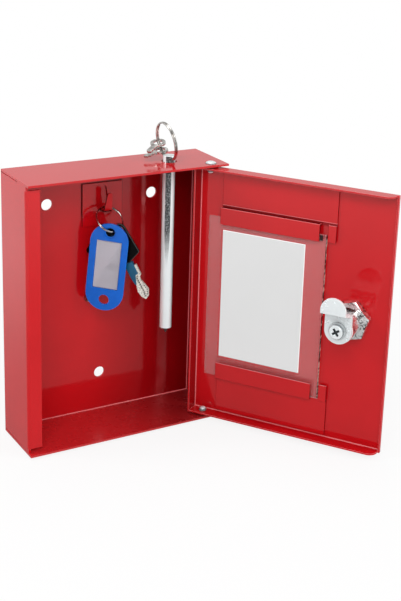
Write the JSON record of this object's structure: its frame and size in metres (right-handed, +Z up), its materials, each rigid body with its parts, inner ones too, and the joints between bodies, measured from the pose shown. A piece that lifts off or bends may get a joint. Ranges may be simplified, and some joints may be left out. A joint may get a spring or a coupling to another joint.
{
  "type": "break glass key box",
  "caption": "Shallow folded steel key box with a glazed hinged door, cam lock, hanging striker rod on a pull ring and a hook holding tagged keys.",
  "frame": {"origin": "centre of the case's back face, on the wall", "axes": "+Y into the wall, the front faces -Y, +Z up, hinge on +X"},
  "size_m": [0.1754, 0.1287, 0.1791],
  "materials": {
    "red_paint": "gloss red enamel",
    "zinc": "zinc plated steel",
    "chrome": "bright chromed zinc casting",
    "glass": "clear polished glass",
    "rod_steel": "bright zinc plated rod",
    "nickel": "nickel plated steel",
    "blue_plastic": "moulded blue plastic",
    "label_paper": "blank label card",
    "clear_plastic": "clear plastic sheet",
    "black_plastic": "black moulded plastic heads on steel blades",
    "teal_plastic": "teal plastic sleeve"
  },
  "bodies": {
    "case": {"case": "red_paint", "hook_plate": "red_paint", "hinge_rivet_upper": "zinc", "hinge_rivet_lower": "zinc"},
    "door": {"door_pan": "red_paint", "glass_retainer_upper": "red_paint", "glass_retainer_lower": "red_paint", "lock_housing": "chrome", "lock_nut": "chrome"},
    "glass": {"glass_pane": "glass"},
    "cam": {"lock_plug": "zinc", "lock_cam": "zinc", "cam_washer": "zinc", "cam_screw": "zinc"},
    "striker": {"striker_rod": "rod_steel"},
    "pull_ring": {"striker_ring": "nickel"},
    "lock_key_1": {"lock_key_1": "nickel"},
    "lock_key_2": {"lock_key_2": "nickel"},
    "hook_ring": {"hook_ring": "nickel"},
    "tag": {"tag_frame": "blue_plastic", "tag_label": "label_paper", "tag_cover": "clear_plastic"},
    "room_key": {"room_key_bow": "black_plastic", "room_key_blade": "nickel", "key_collar": "teal_plastic"},
    "spare_key": {"spare_key": "black_plastic"}
  },
  "joints": [
    {"name": "door_hinge", "type": "hinge", "parent": "case", "child": "door", "pos_m": [0.051, -0.0352, 0], "axis": [0, 0, 1], "range_deg": [-123.5, 62.5]},
    {"name": "glass_lift", "type": "slide", "parent": "door", "child": "glass", "axis": [0, 0, 1], "range_m": [0, 0.005]},
    {"name": "cam_turn", "type": "hinge", "parent": "door", "child": "cam", "pos_m": [0.10163, -0.10662, 0.0005], "axis": [0.8339, 0.5519, 0], "range_deg": [0, 90]},
    {"name": "striker_lift", "type": "slide", "parent": "case", "child": "striker", "axis": [0, 0, 1], "range_m": [0, 0.1]},
    {"name": "pull_ring_swing", "type": "hinge", "parent": "striker", "child": "pull_ring", "pos_m": [0.0318, -0.0215, 0.0783], "axis": [0, 1, 0], "range_deg": [0, 50]},
    {"name": "lock_key_1_swing", "type": "hinge", "parent": "pull_ring", "child": "lock_key_1", "pos_m": [0.03044, -0.01112, 0.086], "axis": [-0.1982, -0.1388, 0.9703], "range_deg": [-5, 5]},
    {"name": "lock_key_2_swing", "type": "hinge", "parent": "pull_ring", "child": "lock_key_2", "pos_m": [0.03115, -0.01335, 0.08196], "axis": [-0.1511, -0.0405, 0.9877], "range_deg": [-5, 2]},
    {"name": "hook_ring_swing", "type": "hinge", "parent": "case", "child": "hook_ring", "pos_m": [-0.0003, -0.0046, 0.04985], "axis": [-0.1736, 0.9848, 0], "range_deg": [-4, 4]},
    {"name": "tag_swing", "type": "hinge", "parent": "hook_ring", "child": "tag", "pos_m": [-0.00087, -0.01598, 0.03834], "axis": [0.6157, 0.788, 0], "range_deg": [-12, 6]},
    {"name": "room_key_swing", "type": "hinge", "parent": "hook_ring", "child": "room_key", "pos_m": [0.00477, -0.01481, 0.03853], "axis": [0.6157, 0.788, 0], "range_deg": [-10, 10]},
    {"name": "spare_key_swing", "type": "hinge", "parent": "hook_ring", "child": "spare_key", "pos_m": [0.00226, -0.0157, 0.03807], "axis": [0.6157, 0.788, 0], "range_deg": [-10, 0]}
  ]
}
